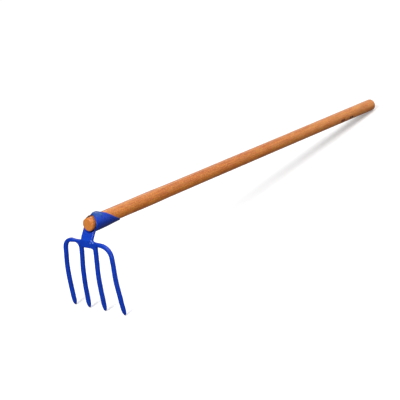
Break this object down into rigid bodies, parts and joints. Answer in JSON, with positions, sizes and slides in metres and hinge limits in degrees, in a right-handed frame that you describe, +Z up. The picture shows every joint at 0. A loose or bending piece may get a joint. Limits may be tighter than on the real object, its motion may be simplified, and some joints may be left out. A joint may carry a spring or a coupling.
{
  "type": "hooked four-tine hay and manure fork",
  "caption": "hooked fork with long straight wooden handle, blue forged eye, neck and square-bar tines set across the handle, for drawing hay, manure or loosened soil",
  "frame": {"origin": "bottom centre of the bounding box of the whole tool, on the floor under it", "axes": "+Z up from the floor, +Y from the fork head to the grip end, +X across the tines"},
  "size_m": [0.1898, 1.314, 0.2597],
  "materials": {
    "blue_paint": "gloss enamel over forging",
    "lacquered_wood": "stained and clear lacquered",
    "dark_wood": "raw, darkened",
    "painted_nail": "gloss enamel"
  },
  "bodies": {
    "root": {"fork_head": "blue_paint", "handle": "lacquered_wood", "wedge": "dark_wood", "lock_nail": "painted_nail"}
  },
  "joints": []
}
